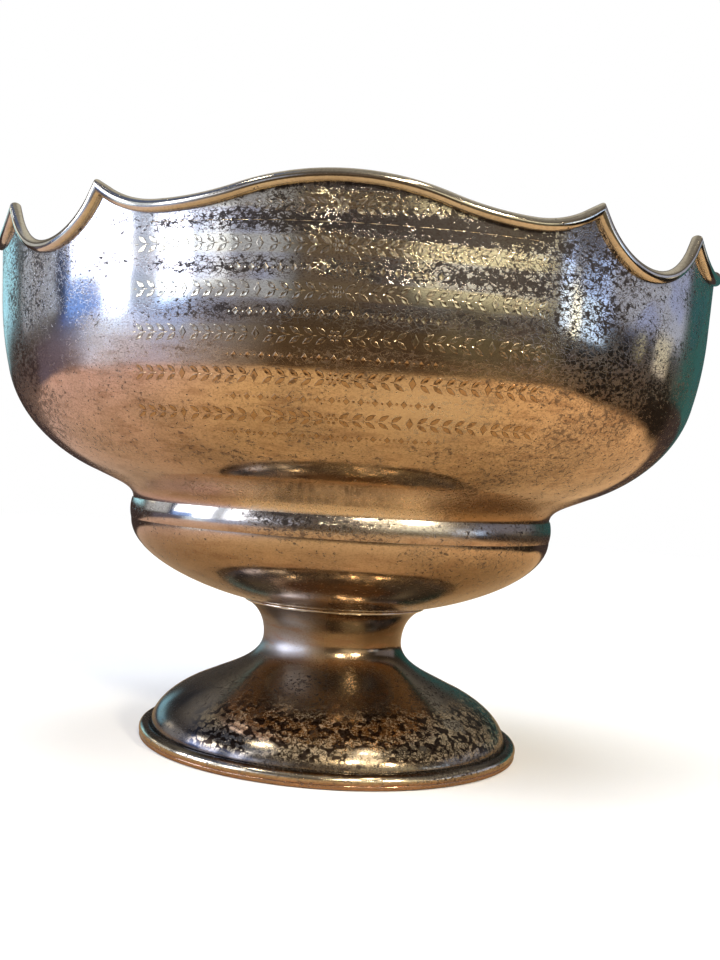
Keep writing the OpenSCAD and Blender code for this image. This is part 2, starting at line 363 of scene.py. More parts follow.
def rim_wire(name, broad, centre):
    """One mitred length of rim wire, with its middle at the angle centre, in degrees."""
    half = BROAD_HALF if broad else NARROW_HALF
    clear = 2.4
    n = 150 if broad else 64
    lines = []
    for rho, up in WIRE:
        flat = [at_mitre(broad, -1, up)]
        first = across(broad, -half + clear, up)
        for k in range(1, 5):
            flat.append(tuple(flat[0][c] + (first[c] - flat[0][c]) * k / 5 for c in range(2)))
        for i in range(n + 1):
            flat.append(across(broad, -half + clear + 2 * (half - clear) * i / n, up))
        last = flat[-1]
        end = at_mitre(broad, 1, up)
        for k in range(1, 6):
            flat.append(tuple(last[c] + (end[c] - last[c]) * k / 5 for c in range(2)))
        lines.append([(rho, x, z) for x, z in flat])
    count = len(lines[0])
    verts = []
    for line in lines:
        for rho, x, z in line:
            a = math.radians(centre + x / ARC)
            verts.append(((wall_r(z) + rho) * math.cos(a), (wall_r(z) + rho) * math.sin(a), z))
    faces = []
    m = len(WIRE)
    for j in range(m):
        k = (j + 1) % m
        for i in range(count - 1):
            faces.append([j * count + i, j * count + i + 1, k * count + i + 1, k * count + i])
    # The ends are closed in a fan from the notch's inner corner.
    for i in (0, count - 1):
        hub = (m - 1) * count + i
        for j in range(m - 2):
            faces.append([hub, j * count + i, (j + 1) * count + i])
    return new_object(name, verts, faces, 50.0)


for i in range(PANELS):
    keep(rim_wire(f"rim_broad_{i + 1}", True, 360 * i / PANELS), "wire_silver", f"rim_wire_broad_{i + 1}")
    keep(rim_wire(f"rim_narrow_{i + 1}", False, 360 * (i + 0.5) / PANELS), "wire_silver",
         f"rim_wire_narrow_{i + 1}")

# ---------------------------------------------------------------- stud, washers and nut, inside the foot
WASHER_Z = WEB_Z - 1.6
SPRING_Z = WASHER_Z - 1.8
NUT_H = 6.5
NUT_Z = SPRING_Z - NUT_H
STUD_END = NUT_Z - 5.0
NUT_R = 1.876 * STUD_R
PITCH = 1.25
THREAD = 0.55

stud_outline = (
    [(0.0, JOINT_Z), (3 * STUD_R - 0.2, JOINT_Z), (3 * STUD_R, JOINT_Z - 0.2), (3 * STUD_R, SHELL_TOP),
     (STUD_R, SHELL_TOP)]
    + [(STUD_R, SHELL_TOP - (SHELL_TOP - STUD_END - 0.8) * (k + 1) / 120) for k in range(120)]
    + [(STUD_R - 0.8, STUD_END), (0.0, STUD_END)]
)


def stud_place(i, r, z, degrees):
    """A helical thread below the web of the foot shell."""
    if not 5 <= i < 125 or z > WASHER_Z:
        return r, z
    turn = ((z - STUD_END) / PITCH + degrees / 360) % 1
    return r - THREAD * abs(2 * turn - 1), z


keep(revolve("stud_threaded", stud_outline, 96, wall=stud_place), "stud_brass", "bowl_stud")

WASHER_R = 14.0
washer_outline = [(STUD_R + 0.3, WASHER_Z + 0.15), (STUD_R + 0.45, WASHER_Z), (WASHER_R - 0.2, WASHER_Z),
                  (WASHER_R, WASHER_Z + 0.25), (WASHER_R, WEB_Z - 0.1), (WASHER_R - 0.1, WEB_Z),
                  (STUD_R + 0.3, WEB_Z)]
keep(revolve("washer_plain", washer_outline, 160), "washer_steel", "spreader_washer")


def split_washer(name):
    """A square-section ring with a slit at 20 degrees."""
    slit = 6.0
    verts, faces = [], []
    n = 120
    near, far, edge = STUD_R + 0.15, 6.6, 0.15
    section = [(near, SPRING_Z + edge), (near + edge, SPRING_Z),
               (far - edge, SPRING_Z), (far, SPRING_Z + edge),
               (far, WASHER_Z - edge), (far - edge, WASHER_Z),
               (near + edge, WASHER_Z), (near, WASHER_Z - edge)]
    m = len(section)
    for k in range(n + 1):
        a = math.radians(20 + slit + (360 - 2 * slit) * k / n)
        verts += [(r * math.cos(a), r * math.sin(a), z) for r, z in section]
    for k in range(n):
        for j in range(m):
            faces.append([k * m + j, k * m + (j + 1) % m, (k + 1) * m + (j + 1) % m, (k + 1) * m + j])
    faces += [list(range(m)), [n * m + j for j in range(m)][::-1]]
    return new_object(name, verts, faces, 30.0)


keep(split_washer("washer_split"), "washer_steel", "spring_washer")


def hex_nut(name):
    """A hexagon whose corners are turned down by a cone, round a plain bore."""
    n = 144
    rows = [(0.0, 0.4), (0.35, 0.0), (1.0, 0.0), (1.0, 0.62),
            (1.0, NUT_H - 0.62), (1.0, NUT_H), (0.35, NUT_H), (0.0, NUT_H - 0.4)]
    across_flats = NUT_R * math.cos(math.pi / 6)
    verts, faces = [], []
    for j in range(n):
        a = 2 * math.pi * j / n
        flat = across_flats / math.cos((a % (math.pi / 3)) - math.pi / 6)
        for k, (out, z) in enumerate(rows):
            bore = STUD_R + 0.02
            if out < 0.5:
                r = bore + out * 1.4
            elif k in (2, 5):
                r = across_flats - 0.15
            else:
                r = flat
            if k in (3, 4):
                drop = (r - across_flats + 0.15) * 0.577
                z = drop if k == 3 else NUT_H - drop
            verts.append((r * math.cos(a), r * math.sin(a), NUT_Z + z))
    m = len(rows)
    for j in range(n):
        i = (j + 1) % n
        for k in range(m):
            faces.append([j * m + k, j * m + (k + 1) % m, i * m + (k + 1) % m, i * m + k])
    return new_object(name, verts, faces, 25.0)


keep(hex_nut("nut_hex"), "washer_steel", "stud_nut")

# ---------------------------------------------------------------- engraved ornament on the front panel
# Leaf, lozenge and dot cuts in rows. Each cut is a thin closed solid, sunk into the wall, whose edges stand
# 0.06 mm proud of it and whose middle is a shallow valley. Its walls and outer lip are darker: tarnish with
# painted shade inside the cut.
EDGE, LIP, VALLEY, SUNK = 0.015, 0.065, 0.012, -0.07
FIRST_ROW_Z, ROW_PITCH = 142.2, 10.7
face_line = [p for p in upper_curve[::-1] if p[1] < 139.5]
face_line = [(wall_r(156 - 2 * k), 156 - 2 * k) for k in range(9)] + face_line
face_run = [0.0]
for p, q in zip(face_line, face_line[1:]):
    face_run.append(face_run[-1] + math.dist(p, q))


def on_face(down):
    """Radius, height and outward normal of the outer face at a distance down it from the top."""
    for i in range(len(face_run) - 1):
        if face_run[i + 1] >= down:
            break
    t = (down - face_run[i]) / (face_run[i + 1] - face_run[i])
    (r0, z0), (r1, z1) = face_line[i], face_line[i + 1]
    size = math.hypot(r1 - r0, z1 - z0)
    return r0 + (r1 - r0) * t, z0 + (z1 - z0) * t, (z0 - z1) / size, (r1 - r0) / size


cut_verts, cut_faces, cut_finish = [], [], []


def put(x, down, out):
    """Adds a vertex at x along the row, at a distance down the face and out from it."""
    r, z, nr, nz = on_face(down)
    a = math.radians(-90) + x / r
    cut_verts.append(((r + out * nr) * math.cos(a), (r + out * nr) * math.sin(a), z + out * nz))
    return len(cut_verts) - 1


def cut(x, down, outline):
    """One closed cut: the outline is a list of [x, up] round its middle."""
    n = len(outline)
    mx, mz = (sum(p[k] for p in outline) / n for k in range(2))
    rings = []
    for scale, out in ((1.0, SUNK), (1.0, EDGE), (0.84, LIP), (0.56, LIP * 0.7), (0.24, VALLEY * 1.6)):
        rings.append([put(x + mx + (px - mx) * scale, down - mz - (pz - mz) * scale, out)
                      for px, pz in outline])
    for k, (low, high) in enumerate(zip(rings, rings[1:])):
        for i in range(n):
            cut_faces.append([low[i], low[(i + 1) % n], high[(i + 1) % n], high[i]])
            # The walls and the outer lip take the darker finish: tarnish with painted shade inside the cut.
            cut_finish.append(1 if k < 2 else 0)
    hub = put(x + mx, down - mz, VALLEY)
    base = put(x + mx, down - mz, SUNK)
    for i in range(n):
        cut_faces.append([rings[-1][i], rings[-1][(i + 1) % n], hub])
        cut_faces.append([rings[0][(i + 1) % n], rings[0][i], base])
        cut_finish.extend((0, 1))


def turned(outline, degrees, x=0.0, up=0.0):
    c, s = math.cos(math.radians(degrees)), math.sin(math.radians(degrees))
    return [(x + px * c - pz * s, up + px * s + pz * c) for px, pz in outline]


def leaf(length, width):
    """A pointed leaf along X."""
    side = [(length * (t - 0.5), width / 2 * math.sin(math.pi * t ** 0.85) ** 0.9) for t in
            (0.0, 0.1, 0.25, 0.42, 0.6, 0.78, 0.91, 1.0)]
    return side[::-1] + [(px, -pz) for px, pz in side[1:-1]]


def lozenge(length, height):
    corners = [(length / 2, 0), (0, height / 2), (-length / 2, 0), (0, -height / 2)]
    outline = []
    for a, b in zip(corners, corners[1:] + corners[:1]):
        outline += [a, tuple((a[k] + b[k]) / 2 * 0.94 for k in range(2))]
    return outline


def dot(size):
    return [(size / 2 * math.cos(math.pi * k / 5), size / 2 * math.sin(math.pi * k / 5)) for k in range(10)]


def laurel_row(down, half, pitch, height):
    """Pairs of leaves on a stem, pointing away from a rosette of dots in the middle."""
    count = int(half / pitch)
    for side in (-1, 1):
        for k in range(1, count + 1):
            x = side * k * pitch
            if k % 6 == 0:
                cut(x, down, lozenge(pitch * 0.62, height * 0.86))
                continue
            for way in (-1, 1):
                blade = turned(leaf(height * 0.74, height * 0.30), way * 36, 0, way * height * 0.27)
                cut(x, down, [(side * px, pz) for px, pz in blade][::side])
            if k % 6 != 5:
                cut(x + side * pitch * 0.5, down, leaf(pitch * 0.42, 0.34))
    for k in range(6):
        a = math.pi * k / 3
        cut(0.29 * height * math.cos(a), down - 0.29 * height * math.sin(a), dot(height * 0.22))
    cut(0, down, dot(height * 0.2))


def chain_row(down, half, pitch, height):
    """Lozenges and dots in turn."""
    count = int(half / pitch)
    for k in range(-count, count + 1):
        cut(k * pitch, down, lozenge(pitch * 0.95, height) if k % 2 == 0 else dot(height * 0.34))


def ruled_line(down, half, width):
    """A fine line made of long cuts laid end to end."""
    count = int(2 * half / 4.0)
    for k in range(count):
        cut(-half + (k + 0.5) * 2 * half / count, down, leaf(2 * half / count * 0.97, width))


def spray(down):
    """The crest above the rows: a rosette with a spray of leaves on each side."""
    for k in range(8):
        cut(0, down, turned(leaf(1.9, 0.85), 45 * k, *turned([(1.5, 0)], 45 * k)[0]))
    cut(0, down, dot(0.9))
    for side in (-1, 1):
        for k in range(7):
            size = 1 - 0.07 * k
            x = side * (4.6 + 2.6 * k)
            for way in (-1, 1):
                blade = turned(leaf(3.0 * size, 1.1 * size), way * 30, 0, way * 1.2 * size)
                cut(x, down, [(side * px, pz) for px, pz in blade][::side])
        cut(side * 22.4, down, turned(leaf(2.0, 0.7), 0))


spray(4.6)
ruled_line(8.4, 50, 0.2)
for down in (13.8, 24.7, 35.2, 45.3, 56.0):
    laurel_row(down, 52, 3.2, 4.2)
for down in (19.5, 30.0, 40.5, 50.8, 61.5):
    chain_row(down, 27, 1.75, 2.1)
cuts = keep(new_object("front_panel_cuts", cut_verts, cut_faces, 30.0), "bowl_silver")

# ---------------------------------------------------------------- camera
# The camera stands close in front of the cup, 1.98 degrees to the right of the front panel's middle.
DISTANCE, HEIGHT = 383.3, 89.4
TURN, YAW, PITCH, ROLL = (math.radians(a) for a in (1.98, 1.60, -0.56, 3.54))
right = Vector((math.cos(YAW), math.sin(YAW), 0))
ahead = Vector((-math.sin(YAW), math.cos(YAW), 0))
above = Vector((0, 0, 1))
ahead, above = (math.cos(PITCH) * ahead + math.sin(PITCH) * above,
                -math.sin(PITCH) * ahead + math.cos(PITCH) * above)
right, above = (math.cos(ROLL) * right + math.sin(ROLL) * above,
                -math.sin(ROLL) * right + math.cos(ROLL) * above)
pose = Matrix.Identity(4)
for k, axis in enumerate((right, above, -ahead)):
    for row in range(3):
        pose[row][k] = axis[row]
pose.translation = Vector((0, -DISTANCE * MM, HEIGHT * MM))
lens = bpy.data.cameras.new("camera")
lens.sensor_width = 36.0
lens.lens = 43.18
lens.shift_x = 0.0524
lens.clip_start = 0.01
lens.clip_end = 20.0
camera = bpy.data.objects.new("camera", lens)
camera.matrix_world = Matrix.Rotation(TURN, 4, "Z") @ pose
bpy.context.scene.collection.objects.link(camera)
bpy.context.scene.camera = camera

# ---------------------------------------------------------------- node helper
class Field:
    """A number or vector in a node tree. Plain arithmetic on it adds Math nodes."""

    def __init__(self, paint, socket):
        self.paint, self.socket = paint, socket

    def __add__(self, other):
        return self.paint.math("ADD", self, other)

    def __sub__(self, other):
        return self.paint.math("SUBTRACT", self, other)

    def __rsub__(self, other):
        return self.paint.math("SUBTRACT", other, self)

    def __mul__(self, other):
        return self.paint.math("MULTIPLY", self, other)

    def __truediv__(self, other):
        return self.paint.math("DIVIDE", self, other)

    __radd__, __rmul__ = __add__, __mul__

    def size(self):
        return self.paint.math("ABSOLUTE", self)

    def most(self, other):
        return self.paint.math("MAXIMUM", self, other)

    def least(self, other):
        return self.paint.math("MINIMUM", self, other)

    def step(self, low, high, to_low=0.0, to_high=1.0):
        """A smooth step from to_low at low to to_high at high."""
        limits = {"From Min": low, "From Max": high, "To Min": to_low, "To Max": to_high}
        return self.paint.put("ShaderNodeMapRange", "Result", {"Value": self, **limits},
                              interpolation_type="SMOOTHSTEP")


class Paint:
    """Builds one node tree."""

    def __init__(self, tree):
        self.tree = tree
        tree.nodes.clear()

    def put(self, kind, output, inputs, **settings):
        node = self.tree.nodes.new(kind)
        for key, value in settings.items():
            setattr(node, key, value)
        for key, value in inputs.items():
            socket = node.inputs[key]
            if isinstance(value, Field):
                self.tree.links.new(value.socket, socket)
            elif isinstance(value, (tuple, list)) and len(value) == 3 and socket.type == "RGBA":
                socket.default_value = (*value, 1.0)
            else:
                socket.default_value = value
        return Field(self, node.outputs[output]) if output is not None else node

    def math(self, operation, a, b=0.0):
        return self.put("ShaderNodeMath", 0, {0: a, 1: b}, operation=operation)

    def noise(self, where, scale, detail=2.0, roughness=0.5):
        return self.put("ShaderNodeTexNoise", "Fac", {"Vector": where, "Scale": scale, "Detail": detail,
                                                      "Roughness": roughness})

    def warp(self, where, scale, amount):
        """The place moved about by a noise, amount in millimetres."""
        drift = self.put("ShaderNodeTexNoise", "Color", {"Vector": where, "Scale": scale, "Detail": 2.0})
        drift = self.vector("SUBTRACT", drift, (0.5, 0.5, 0.5))
        return self.vector("ADD", where, self.vector("MULTIPLY", drift, (2 * amount,) * 3))

    def vector(self, operation, a, b):
        return self.put("ShaderNodeVectorMath", 0, {0: a, 1: b}, operation=operation)

    def cell_edge(self, where, scale):
        """Distance to the nearest edge between irregular cells."""
        return self.put("ShaderNodeTexVoronoi", "Distance", {"Vector": where, "Scale": scale},
                        feature="DISTANCE_TO_EDGE")

    def mix(self, amount, a, b):
        node = self.put("ShaderNodeMix", None, {}, data_type="RGBA")
        for key, value in ((0, amount), (6, a), (7, b)):
            if isinstance(value, Field):
                self.tree.links.new(value.socket, node.inputs[key])
            else:
                node.inputs[key].default_value = (*value, 1.0) if isinstance(value, tuple) else value
        return Field(self, node.outputs[2])

    def place(self, folded=True):
        """The point in millimetres, its angle from the front and its height.

        A folded angle comes back to 0 behind the object, so that no colour jumps there.
        """
        point = self.put("ShaderNodeTexCoord", "Object", {})
        point = self.vector("MULTIPLY", point, (1000.0, 1000.0, 1000.0))
        parts = self.put("ShaderNodeSeparateXYZ", None, {"Vector": point})
        x, y, z = (Field(self, parts.outputs[k]) for k in range(3))
        angle = self.math("ARCTAN2", x, y * -1.0) * (180 / math.pi)
        if folded:
            angle = angle * angle.size().step(178.0, 100.0)
        return point, angle, z


def spot(angle, z, at, height, wide, tall):
    """One at a place on the surface, falling to nothing at wide degrees and tall millimetres from it."""
    a = (angle - at) / wide
    b = (z - height) / tall
    return (1.0 - a * a - b * b).most(0.0)


def metal(name, look):
    """A metal material. look(paint) gives the linked inputs of its shader, a bump height and its strength."""
    material = bpy.data.materials.new(name)
    material.use_nodes = True
    paint = Paint(material.node_tree)
    inputs, height, depth = look(paint)
    if height is not None:
        inputs["Normal"] = paint.put("ShaderNodeBump", "Normal", {"Height": height, "Strength": 1.0,
                                                                 "Distance": depth * MM})
    shader = paint.put("ShaderNodeBsdfPrincipled", "BSDF", inputs)
    paint.put("ShaderNodeOutputMaterial", None, {"Surface": shader})
    return material


def silver(paint, clean, warm, warmth, density, point, seed=0.0, scale=1.0, gloss=0.09,
           brown=(0.20, 0.115, 0.075)):
    """Silver with flaking tarnish: a net of dark, sharp-edged marks where density is high.

    The clean and warm colours mix by warmth; in the warm zone the marks are browner and thinner.
    seed moves the pattern, scale above 1 makes it finer, and gloss is the roughness of the clean metal.
    """
    moved = paint.vector("ADD", point, (seed, seed * 1.7, seed * 0.6))
    bent = paint.warp(paint.vector("MULTIPLY", moved, (1.0, 1.0, 1.5)), 0.3 * scale, 0.9)
    torn = paint.warp(bent, 1.3 * scale, 0.4)
    clouds = paint.noise(moved, 0.05, 3.0, 0.6)
    patchy = density + (clouds - 0.5) * 0.9 + (paint.noise(bent, 0.13, 2.0, 0.5) - 0.5) * 0.6
    flakes = paint.noise(torn, 0.66 * scale, 5.0, 0.68)
    blots = (flakes + patchy * 0.21 - 0.665).step(0.0, 0.014)
    cracks = (patchy * 0.11 - 0.014 - paint.cell_edge(torn, 0.48 * scale)).step(0.0, 0.03)
    lace = blots.most(cracks * (1.0 - warmth * 0.5)) * (1.0 - warmth * 0.30)
    fine = paint.noise(paint.vector("MULTIPLY", moved, (1.0, 1.0, 1.9)), 1.4 * scale, 4.0, 0.64)
    grit = fine.step(0.46, 0.66) * patchy.step(-0.1, 0.7, 0.28, 1.0)
    streaks = paint.noise(paint.vector("MULTIPLY", moved, (0.6, 0.6, 3.0)), 0.16, 4.0, 0.65).step(0.48, 0.66)
    haze = clouds.step(0.38, 0.66)
    base = paint.mix(warmth, clean, warm)
    base = paint.mix(haze * 0.42, base, (0.50, 0.42, 0.33))
    base = paint.mix(streaks * (warmth * 0.48), base, (0.40, 0.25, 0.165))
    peel = paint.noise(paint.vector("MULTIPLY", moved, (1.0, 1.0, 1.6)), 2.1, 3.0, 0.7).step(0.40, 0.62)
    base = paint.mix(peel * (warmth * 0.22), base, (0.33, 0.19, 0.125))
    base = paint.mix(grit * 0.72, base, brown)
    dark = paint.mix(warmth, (0.020, 0.015, 0.016), (0.085, 0.047, 0.03))
    colour = paint.mix(lace * 0.95, base, dark)
    rough = lace * 0.28 + grit * 0.10 + haze * 0.06 + gloss
    height = paint.noise(moved, 0.045, 2.0, 0.5) - lace * 0.03 + fine * 0.025
    return {"Base Color": colour, "Roughness": rough, "Metallic": 1.0 - lace * 0.3}, height, 0.25


def upper_look(paint):
    """Bluish above and coppery below. Along the rows the tarnish is worn away, and under the wire the wall is
    darkened by a painted shadow and tarnish.
    """
    point, angle, z = paint.place()
    # Painted reflection: below about 120 mm the colour turns coppery, partly as tarnish and partly standing
    # for the warm table reflected there; the warm colours are pinker at the left and lighter at the right.
    warmth = (z + (paint.noise(point, 0.08, 2.0) - 0.5) * 10.0).step(128.0, 112.0)
    rows = (paint.math("COSINE", (z - FIRST_ROW_Z) * (2 * math.pi / ROW_PITCH)) * z.step(112.0, 122.0)
            * angle.size().step(36.0, 18.0))
    density = (
        z.step(130.0, 150.0) * 0.20 + 0.28
        + spot(angle, z, 2, 151, 30, 12) * 0.30
        + spot(angle, z, 22, 142, 24, 22) * 0.36
        + spot(angle, z, 42, 122, 20, 18) * 0.30
        + spot(angle, z, 34, 100, 26, 24) * 0.26
        + spot(angle, z, -54, 134, 10, 26) * 0.34
        + spot(angle, z, -58, 104, 12, 14) * 0.60
        - spot(angle, z, -24, 147, 17, 18) * 0.34
        - rows * 0.38
    )
    clean = paint.mix(paint.noise(point, 0.06, 2.0).step(0.42, 0.6), (0.66, 0.67, 0.73), (0.80, 0.76, 0.65))
    clean = paint.mix(rows.step(0.0, 0.6) * 0.8, clean, (0.86, 0.81, 0.62))
    clean = paint.mix(angle.step(-10.0, -24.0) * 0.7, clean, (0.62, 0.66, 0.75))
    warm = paint.mix(angle.step(-34.0, -8.0), (0.88, 0.69, 0.62), (0.92, 0.73, 0.50))
    warm = paint.mix(angle.step(18.0, 46.0), warm, (1.0, 0.80, 0.60))
    inputs, height, depth = silver(paint, clean, warm, warmth, density, point, 11.0, 1.0, 0.075)
    # Painted reflection on the belt above the band: its middle is lightened to stand for the bright table
    # reflected there; towards both sides it is darker and browner.
    belt = z.step(86.5, 83.0)
    wear_and_highlight = spot(angle, z, 13, 105, 12, 9) * 0.6
    colour = paint.mix(wear_and_highlight, inputs["Base Color"], (0.98, 0.82, 0.60))
    colour = paint.mix(belt * angle.size().step(30.0, 16.0) * 0.8, colour, (1.0, 0.86, 0.68))
    colour = paint.mix(belt * angle.step(20.0, 34.0) * 0.75, colour, (0.34, 0.20, 0.08))
    colour = paint.mix(belt * angle.step(-20.0, -34.0) * 0.5, colour, (0.42, 0.31, 0.24))
    under_wire = paint.put("ShaderNodeAttribute", "Fac", {}, attribute_name="below_edge")
    # Painted shadow with tarnish: the wall just under the rim wire is darkened, broken up by a noise.
    dark_seam = under_wire.step(3.4, 0.6) * paint.noise(point, 0.25, 3.0).step(0.2, 0.6, 0.45, 1.0) * 0.92
    inputs["Base Color"] = paint.mix(dark_seam, colour, (0.028, 0.020, 0.018))
    clouded = spot(angle, z, -29, 118, 24, 10) * 0.17
    inputs["Roughness"] = inputs["Roughness"] + belt * 0.13 + dark_seam * 0.15 + clouded
    return inputs, height, depth


def inside_look(paint):
    """Plain and duller, with more tarnish towards the rim."""
    point, _, z = paint.place()
    density = z.step(70.0, 150.0) * 0.12 + 0.05
    return silver(paint, (0.72, 0.70, 0.66), (0.76, 0.66, 0.50), z.step(130.0, 75.0), density, point,
                  47.0, 0.8, 0.2)


def lower_look(paint):
    """Coppery all over, darker at both sides."""
    point, angle, z = paint.place()
    density = 0.16 + spot(angle, z, 40, 66, 32, 10) * 0.30 + z.step(56.0, 48.0) * 0.25
    # The coppery colour is partly tarnish and partly a painted reflection of the warm table below.
    warm = paint.mix(angle.step(-18.0, -52.0) * 0.75, (0.80, 0.62, 0.45), (0.42, 0.30, 0.23))
    warm = paint.mix(angle.step(8.0, 30.0) * 0.5, warm, (0.56, 0.42, 0.24))
    return silver(paint, (0.78, 0.66, 0.52), warm, z.step(74.0, 62.0), density, point, 23.0, 1.1, 0.10)


def band_look(paint):
    """Bright at the left, with more marks in the middle and a brown right side."""
    point, angle, z = paint.place()
    density = 0.30 + spot(angle, z, -6, 73.6, 26, 9) * 0.35 - spot(angle, z, -34, 73.6, 20, 12) * 0.40
    clean = paint.mix(angle.step(26.0, 46.0) * 0.85, (0.80, 0.77, 0.74), (0.22, 0.16, 0.10))
    gloss = angle.step(-10.0, 8.0, 0.075, 0.17)
    return silver(paint, clean, (0.76, 0.62, 0.50), z.step(74.0, 70.5), density, point, 5.0, 1.1, gloss)


def foot_look(paint):
    """The foot is browner, and low on its dome the tarnish leaves pale rounded flakes."""
    point, angle, z = paint.place()
    neck = z.step(25.0, 31.0)
    # Painted shade: low on the dome at the left, the clean metal is darkened to a dark blue and carries fewer
    # marks, standing for the window's reflection being shaded there.
    left = spot(angle, z, -54, 7, 46, 14)
    density = 0.44 + z.step(26.0, 18.0) * 0.1 - neck * 0.34 - left.least(0.6) * 0.6
    clean = paint.mix((left * 2.2).least(1.0), (0.30, 0.265, 0.21), (0.070, 0.085, 0.130))
    # The neck's colour: greyer at the left, brown in the middle, dark at the right, and dark near its top at
    # the sides.
    neck_colour = paint.mix(angle.step(-26.0, -6.0), (0.38, 0.38, 0.40), (0.44, 0.33, 0.21))
    neck_colour = paint.mix(angle.step(14.0, 32.0), neck_colour, (0.20, 0.14, 0.075))
    neck_colour = paint.mix(z.step(40.0, 43.0) * angle.size().step(8.0, 20.0) * 0.7, neck_colour, (0.13, 0.09, 0.06))
    brown = (0.15, 0.11, 0.07)
    inputs, _, _ = silver(paint, clean, neck_colour, neck, density, point, 71.0, 1.4, 0.13, brown)
    bent = paint.warp(paint.vector("MULTIPLY", point, (1.0, 1.0, 1.35)), 0.6, 0.6)
    clouds = paint.noise(point, 0.08, 3.0, 0.6)
    islands = paint.noise(bent, 0.20, 2.0, 0.45)
    rounded = paint.noise(paint.vector("MULTIPLY", point, (1.0, 1.0, 1.3)), 0.50, 1.2, 0.35)
    cracks = paint.cell_edge(bent, 0.42)
    low = (z + (clouds - 0.5) * 9.0).step(20.0, 16.0) * z.step(5.2, 7.2, 0.15, 1.0) * angle.step(-50.0, -34.0)
    spread = (islands - 0.5) * 0.35 + (clouds - 0.5) * 0.15
    flake = (rounded - 0.445 + spread).step(0.0, 0.03) * cracks.step(0.02, 0.05)
    shade = paint.noise(point, 0.35, 3.0).step(0.35, 0.65)
    pale = paint.mix(shade, (0.47, 0.385, 0.275), (0.29, 0.23, 0.155))
    leopard = paint.mix(flake, (0.026, 0.017, 0.012), pale)
    amount = low * (clouds + (islands - 0.5) * 0.3).step(0.34, 0.38)
    colour = paint.mix(amount, inputs["Base Color"], leopard)
    # Painted highlights: the colour is lightened in two broken spots low on the dome, where the lamps'
    # highlights fall.
    wear_and_highlight = (spot(angle, z, -17, 8.4, 6, 2.4) + spot(angle, z, 14, 8.4, 6, 2.4)) * (islands * 2.6)
    inputs["Base Color"] = paint.mix(wear_and_highlight.least(0.8), colour, (0.60, 0.52, 0.41))
    dull_neck = neck * angle.step(4.0, -12.0) * 0.24
    inputs["Roughness"] = inputs["Roughness"] + amount * (1.0 - flake) * 0.10 + dull_neck
    return inputs, paint.noise(point, 0.05, 2.0), 0.25


def edge_look(paint):
    """The foot mount: a bright bead, darker along its top, above a coppery band, both with dark marks."""
    point, _, z = paint.place()
    density = 0.36 + (paint.noise(point, 0.05, 2.0) - 0.5) * 1.0
    inputs, height, depth = silver(paint, (0.84, 0.76, 0.60), (0.74, 0.52, 0.40), z.step(2.3, 1.5), density,
                                   point, 31.0, 1.1, 0.12)
    # The bead is darker along its top, next to the dome.
    dark_seam = (z + (paint.noise(point, 0.12, 3.0) - 0.5) * 1.2).step(3.3, 3.9) * 0.9
    inputs["Base Color"] = paint.mix(dark_seam, inputs["Base Color"], (0.05, 0.038, 0.032))
    return inputs, height, depth


def wire_look(paint):
    """Bright, with a few small marks."""
    point, _, _ = paint.place()
    density = (paint.noise(point, 0.05, 2.0) - 0.5) * 0.8 - 0.05
    return silver(paint, (0.83, 0.79, 0.69), (0.82, 0.77, 0.66), 0.0, density, point, 91.0, 1.0, 0.085)


def cut_look(paint):
    """Bright-cut metal with tarnish left in some of the cuts."""
    point, _, z = paint.place()
    held = paint.noise(point, 0.9, 2.0).step(0.48, 0.64) * paint.noise(point, 0.13, 3.0, 0.6).step(0.4, 0.6)
    # Coppery below about 120 mm, as on the wall: partly tarnish, partly a painted reflection of the warm
    # table.
    colour = paint.mix(z.step(127.0, 114.0), (0.88, 0.84, 0.70), (0.56, 0.38, 0.22))
    colour = paint.mix(held * 0.7, colour, (0.16, 0.11, 0.07))
    return {"Base Color": colour, "Roughness": held * 0.25 + 0.14, "Metallic": 1.0}, None, 0.0


def burr_look(paint):
    """The darker walls and lip round each cut: tarnish with painted shade inside the cut, broken by paler
    metal.
    """
    point, _, z = paint.place()
    broken = paint.noise(point, 1.1, 2.0).step(0.38, 0.62)
    colour = paint.mix(z.step(127.0, 114.0), (0.16, 0.13, 0.11), (0.16, 0.085, 0.045))
    colour = paint.mix(broken * z.step(114.0, 127.0, 0.35, 0.6), colour, (0.70, 0.60, 0.45))
    return {"Base Color": colour, "Roughness": broken * 0.1 + 0.25, "Metallic": 1.0}, None, 0.0


def brass_look(paint):
    point, _, _ = paint.place()
    cloudy = paint.noise(point, 0.25, 4.0, 0.6)
    colour = paint.mix(cloudy.step(0.35, 0.7), (0.60, 0.43, 0.18), (0.27, 0.17, 0.08))
    inputs = {"Base Color": colour, "Roughness": cloudy * 0.3 + 0.2, "Metallic": 1.0}
    return inputs, paint.noise(point, 1.4, 2.0), 0.02


def steel_look(paint):
    point, _, _ = paint.place()
    cloudy = paint.noise(point, 0.4, 4.0, 0.6)
    rust = paint.noise(point, 0.16, 4.0, 0.65).step(0.55, 0.68)
    colour = paint.mix(cloudy, (0.42, 0.41, 0.40), (0.26, 0.25, 0.25))
    colour = paint.mix(rust * 0.7, colour, (0.14, 0.06, 0.03))
    rough = cloudy * 0.2 + rust * 0.3 + 0.3
    inputs = {"Base Color": colour, "Roughness": rough, "Metallic": 1.0 - rust * 0.6}
    return inputs, paint.noise(point, 1.1, 3.0), 0.03


